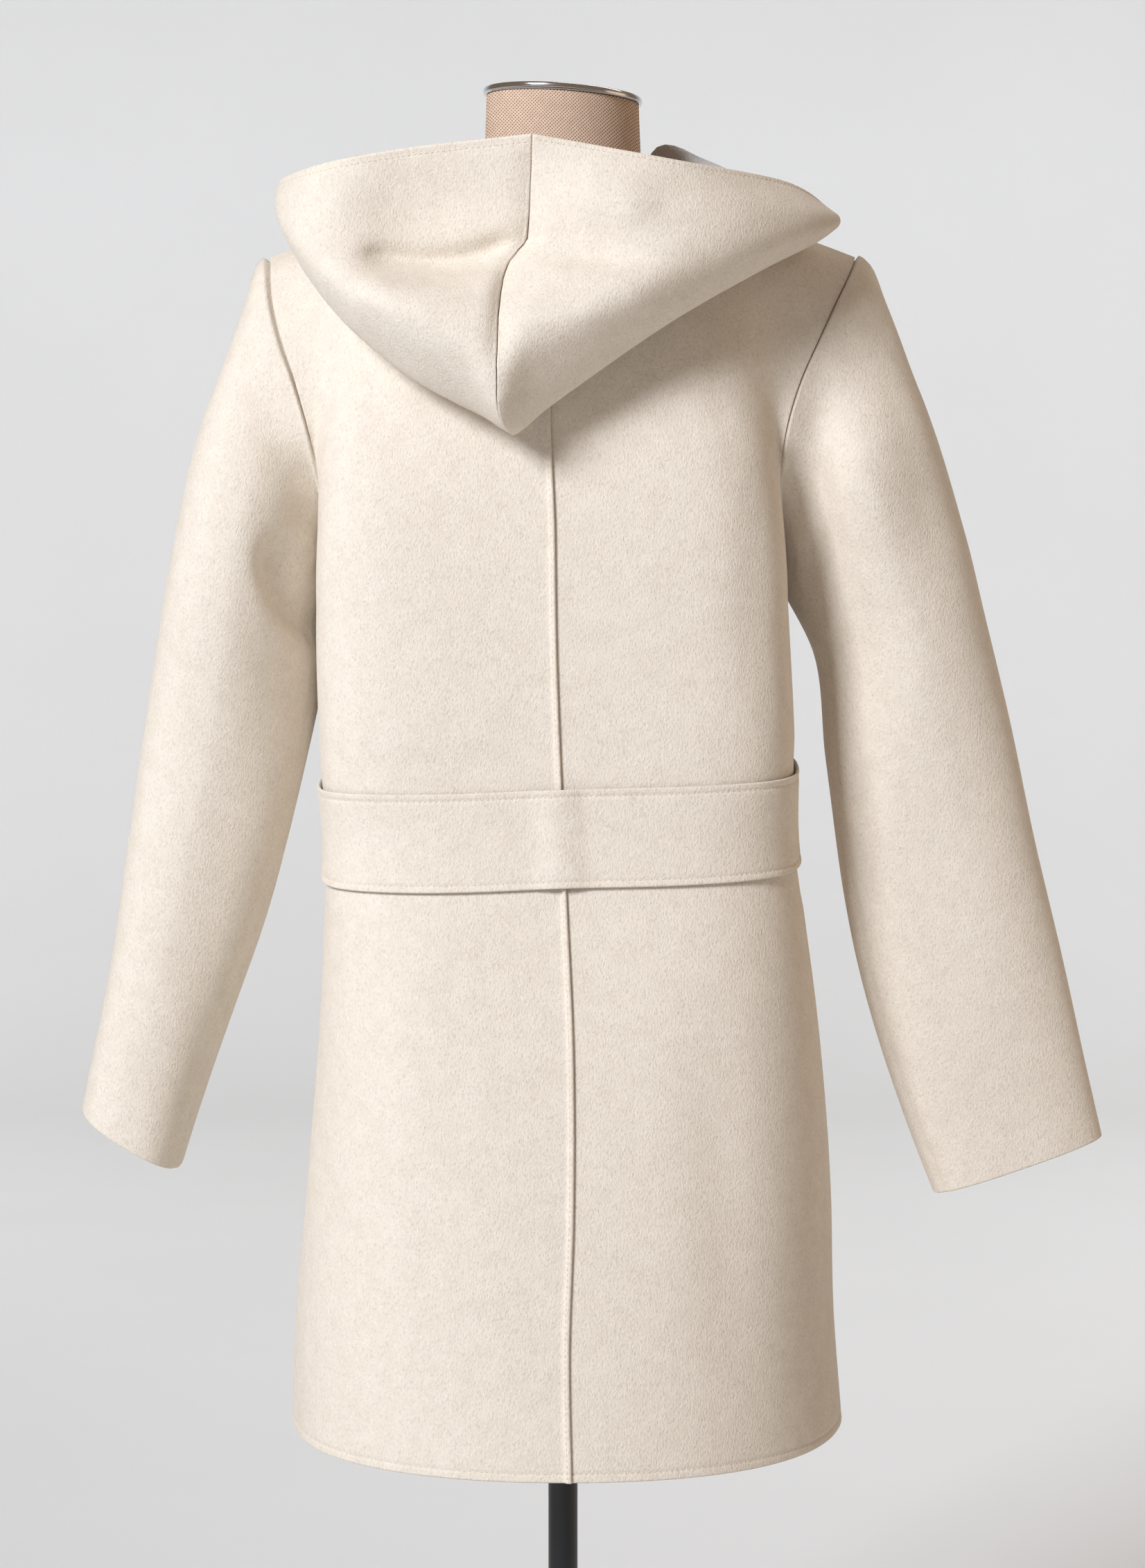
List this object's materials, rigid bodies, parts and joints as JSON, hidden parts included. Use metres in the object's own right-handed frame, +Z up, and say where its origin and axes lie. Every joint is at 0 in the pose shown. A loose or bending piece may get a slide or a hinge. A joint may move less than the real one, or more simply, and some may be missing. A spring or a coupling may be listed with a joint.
{
  "type": "hooded coat on a dress form",
  "caption": "Hooded knee-length coat of pale felted wool with a lapped back seam and a sewn belt across the back, standing on a limbless dress form with a pole and round base.",
  "frame": {"origin": "centre of the base's underside, on the pole's axis", "axes": "+Z up; the coat's back faces -Y and its front +Y, so the wearer's right is +X"},
  "size_m": [0.7549, 0.3451, 1.4985],
  "materials": {
    "coat_wool": "felted melange double cloth, soft nap",
    "form_canvas": "fine woven canvas stretched over the form",
    "cap_chrome": "polished",
    "stand_black": "smooth black paint"
  },
  "bodies": {
    "root": {"back_left": "coat_wool", "back_right": "coat_wool", "front_left": "coat_wool", "front_right": "coat_wool", "sleeve_left": "coat_wool", "sleeve_right": "coat_wool", "hood_left": "coat_wool", "hood_right": "coat_wool", "belt_back": "coat_wool", "form_torso": "form_canvas", "neck_cap": "cap_chrome", "pole": "stand_black", "base": "stand_black"}
  },
  "joints": []
}
